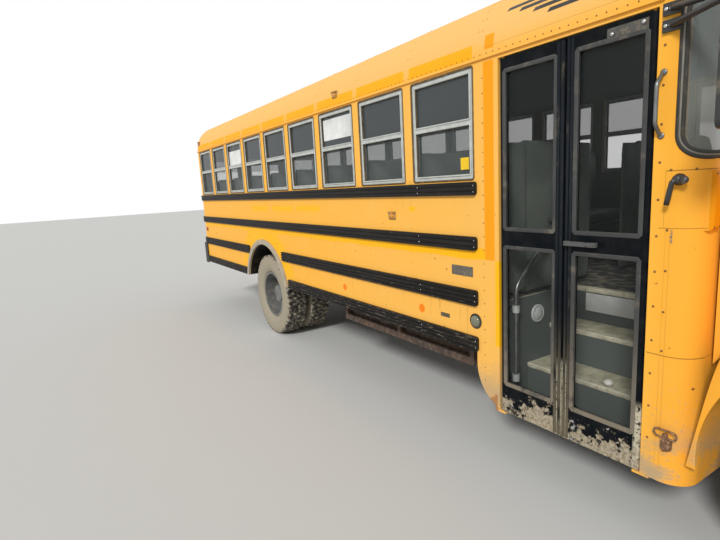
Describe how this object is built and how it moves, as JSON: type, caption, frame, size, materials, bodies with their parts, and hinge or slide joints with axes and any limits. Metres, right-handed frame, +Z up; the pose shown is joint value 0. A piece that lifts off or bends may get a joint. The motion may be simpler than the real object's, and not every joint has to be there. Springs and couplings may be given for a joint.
{
  "type": "school bus",
  "caption": "Long-nosed yellow school bus with hollow windowed cabin, high-back seats, folding entrance, dual rear wheels and forward-tilting hood.",
  "frame": {"origin": "on the ground, in the middle of the overall length and width", "axes": "+X forward, +Y to the bus's left, +Z up"},
  "size_m": [9.602, 3.14, 3.098],
  "materials": {
    "yellow_paint": "faded school-bus yellow with dents, rust and dried mud",
    "black_paint": "black enamel, worn and dusty",
    "chassis_paint": "black chassis paint with rust",
    "rusty_steel": "rusty bare steel",
    "iron": "dull cast iron",
    "flare_grey": "light grey, muddy",
    "rim_grey": "dark grey with dried mud",
    "tyre": "black rubber under dried mud",
    "aluminium": "dull",
    "glass": "dusty clear glass",
    "headlamp_glass": "clear lens over a reflector",
    "red_lens": "gloss",
    "amber_lens": "gloss",
    "sign_red": "faded red face, blank",
    "black_rubber": "black rubber and blackened steel",
    "seat_vinyl": "dark grey-green vinyl",
    "seat_steel": "dark grey",
    "floor_rubber": "ribbed, dusty",
    "cab_plastic": "black"
  },
  "bodies": {
    "vehicle": {"side_panel_right": "yellow_paint", "side_panel_left": "yellow_paint", "window_posts": "yellow_paint", "roof": "yellow_paint", "roof_caps": "yellow_paint", "rear_wall": "yellow_paint", "cowl": "yellow_paint", "windscreen_surround": "yellow_paint", "rub_rails": "black_paint", "rear_bumper": "black_paint", "front_bumper": "black_paint", "mirrors": "black_paint", "lamp_housings": "black_paint", "frame_rails": "chassis_paint", "crossmembers": "chassis_paint", "springs": "chassis_paint", "front_axle": "chassis_paint", "rear_axle": "chassis_paint", "exhaust": "rusty_steel", "fuel_tank": "rusty_steel", "engine_block": "iron", "radiator": "iron", "arch_flares": "flare_grey", "wheel_houses": "flare_grey", "window_frames": "aluminium", "grab_rails": "aluminium", "window_glass": "glass", "windscreen": "glass", "lenses_red": "red_lens", "lenses_amber": "amber_lens", "door_release": "black_rubber", "hood_latches": "black_rubber", "stop_arm_box": "black_rubber", "seat_pads": "seat_vinyl", "seat_frames": "seat_steel", "floor": "floor_rubber", "stepwell": "floor_rubber", "dashboard": "cab_plastic"},
    "hood": {"hood_shell": "yellow_paint", "grille": "black_paint", "headlamps": "headlamp_glass"},
    "entrance_front_leaf": {"door_front_frame": "yellow_paint", "door_front_glass": "glass"},
    "entrance_rear_leaf": {"door_rear_frame": "yellow_paint", "door_rear_glass": "glass"},
    "rear_door": {"rear_door_panel": "yellow_paint", "rear_door_glass": "glass"},
    "stop_arm": {"stop_arm": "sign_red"},
    "knuckle_left": {"knuckle_left": "chassis_paint"},
    "knuckle_right": {"knuckle_right": "chassis_paint"},
    "tie_rod": {"tie_rod": "chassis_paint"},
    "steering_wheel": {"steering_wheel": "cab_plastic"},
    "wheel_front_left": {"front_rim_left": "rim_grey", "front_tyre_left": "tyre"},
    "wheel_front_right": {"front_rim_right": "rim_grey", "front_tyre_right": "tyre"},
    "wheel_rear_left": {"rear_rims_left": "rim_grey", "rear_tyres_left": "tyre"},
    "wheel_rear_right": {"rear_rims_right": "rim_grey", "rear_tyres_right": "tyre"}
  },
  "joints": [
    {"name": "hood_tilt", "type": "hinge", "parent": "vehicle", "child": "hood", "pos_m": [4.65, 0, 0.72], "axis": [0, 1, 0], "range_deg": [0, 60]},
    {"name": "entrance_front", "type": "hinge", "parent": "vehicle", "child": "entrance_front_leaf", "pos_m": [2.881, -1.198, 0.37], "axis": [0, 0, 1], "range_deg": [0, 90]},
    {"name": "entrance_rear", "type": "hinge", "parent": "vehicle", "child": "entrance_rear_leaf", "pos_m": [2.03, -1.198, 0.37], "axis": [0, 0, 1], "range_deg": [-90, 0]},
    {"name": "rear_door_swing", "type": "hinge", "parent": "vehicle", "child": "rear_door", "pos_m": [-4.706, -0.377, 1.3], "axis": [0, 0, 1], "range_deg": [0, 100]},
    {"name": "stop_arm_swing", "type": "hinge", "parent": "vehicle", "child": "stop_arm", "pos_m": [1.7, 1.271, 1.64], "axis": [0, 0, 1], "range_deg": [-90, 0]},
    {"name": "steer_left", "type": "hinge", "parent": "vehicle", "child": "knuckle_left", "pos_m": [3.791, 0.9, 0.525], "axis": [0, 0, 1], "range_deg": [-36, 36]},
    {"name": "steer_right", "type": "hinge", "parent": "vehicle", "child": "knuckle_right", "pos_m": [3.791, -0.9, 0.525], "axis": [0, 0, 1], "range_deg": [-36, 36]},
    {"name": "tie_rod_end", "type": "hinge", "parent": "knuckle_left", "child": "tie_rod", "pos_m": [3.601, 0.9, 0.389], "axis": [0, 0, 1], "range_deg": [-36, 36]},
    {"name": "steering_column", "type": "hinge", "parent": "vehicle", "child": "steering_wheel", "pos_m": [2.79, 0.64, 1.85], "axis": [-0.3584, 0, 0.9336], "range_deg": [-360, 360]},
    {"name": "wheel_front_left_spin", "type": "hinge", "parent": "knuckle_left", "child": "wheel_front_left", "pos_m": [3.791, 0.999, 0.525], "axis": [0, 1, 0], "continuous": true},
    {"name": "wheel_front_right_spin", "type": "hinge", "parent": "knuckle_right", "child": "wheel_front_right", "pos_m": [3.791, -0.999, 0.525], "axis": [0, 1, 0], "continuous": true},
    {"name": "wheel_rear_left_spin", "type": "hinge", "parent": "vehicle", "child": "wheel_rear_left", "pos_m": [-1.929, 1.039, 0.525], "axis": [0, 1, 0], "continuous": true},
    {"name": "wheel_rear_right_spin", "type": "hinge", "parent": "vehicle", "child": "wheel_rear_right", "pos_m": [-1.929, -1.039, 0.525], "axis": [0, 1, 0], "continuous": true}
  ],
  "couplings": [
    {"joint": "entrance_rear", "follows": "entrance_front", "ratio": -1},
    {"joint": "steer_right", "follows": "steer_left", "ratio": 1},
    {"joint": "tie_rod_end", "follows": "steer_left", "ratio": -1},
    {"joint": "steering_column", "follows": "steer_left", "ratio": 10}
  ]
}
